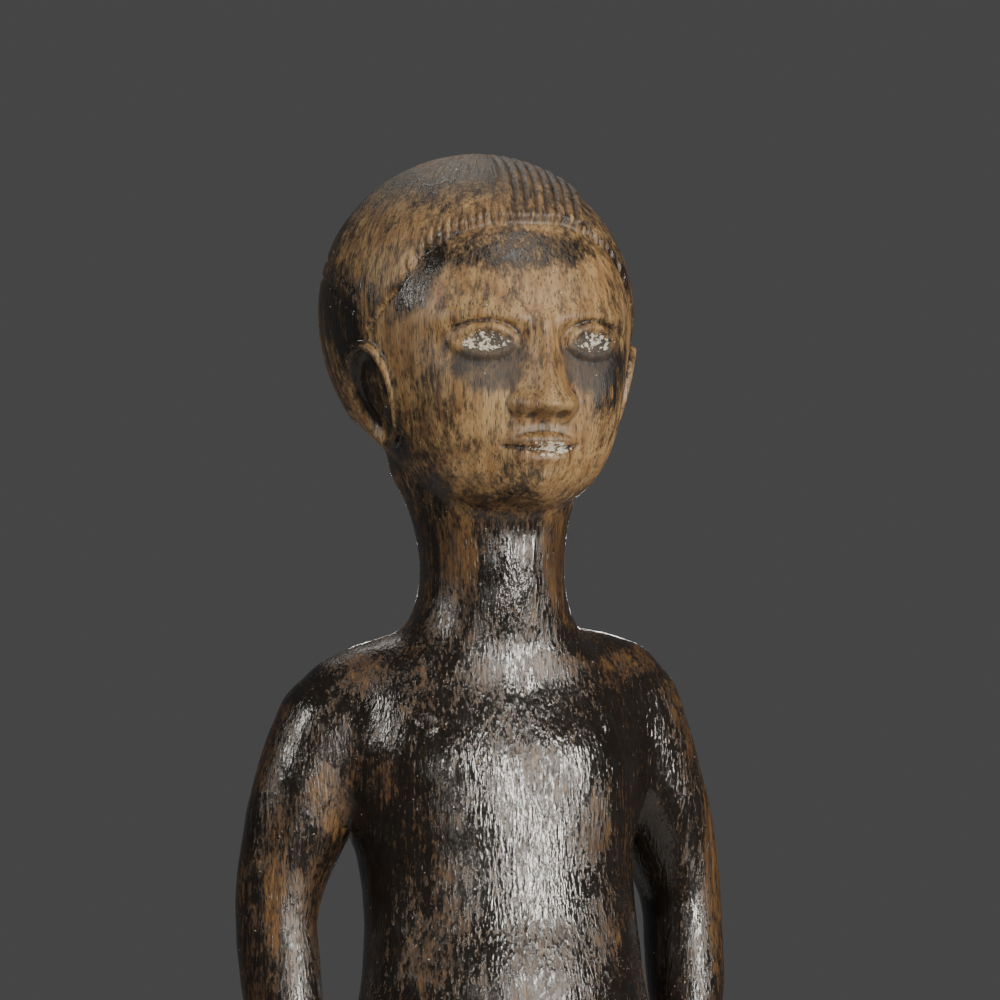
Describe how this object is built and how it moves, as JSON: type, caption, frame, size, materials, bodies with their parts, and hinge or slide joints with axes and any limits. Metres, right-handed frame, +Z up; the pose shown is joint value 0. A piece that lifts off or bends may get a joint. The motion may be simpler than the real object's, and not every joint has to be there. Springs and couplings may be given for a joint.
{
  "type": "standing wooden figure",
  "caption": "Carved wooden figure standing bare-armed on a low oval base, hands on its thighs, with short parted hair and a dark worn surface.",
  "frame": {"origin": "middle of the flat underside of the low oval base that is carved with the figure", "axes": "+Z up through the head, -Y the way the figure faces, +X to the figure's left"},
  "size_m": [0.1668, 0.1301, 0.4699],
  "materials": {
    "carved_wood": "worn ochre wood under a dark brown-black glossy coating"
  },
  "bodies": {
    "root": {"carved_figure": "carved_wood"}
  },
  "joints": []
}
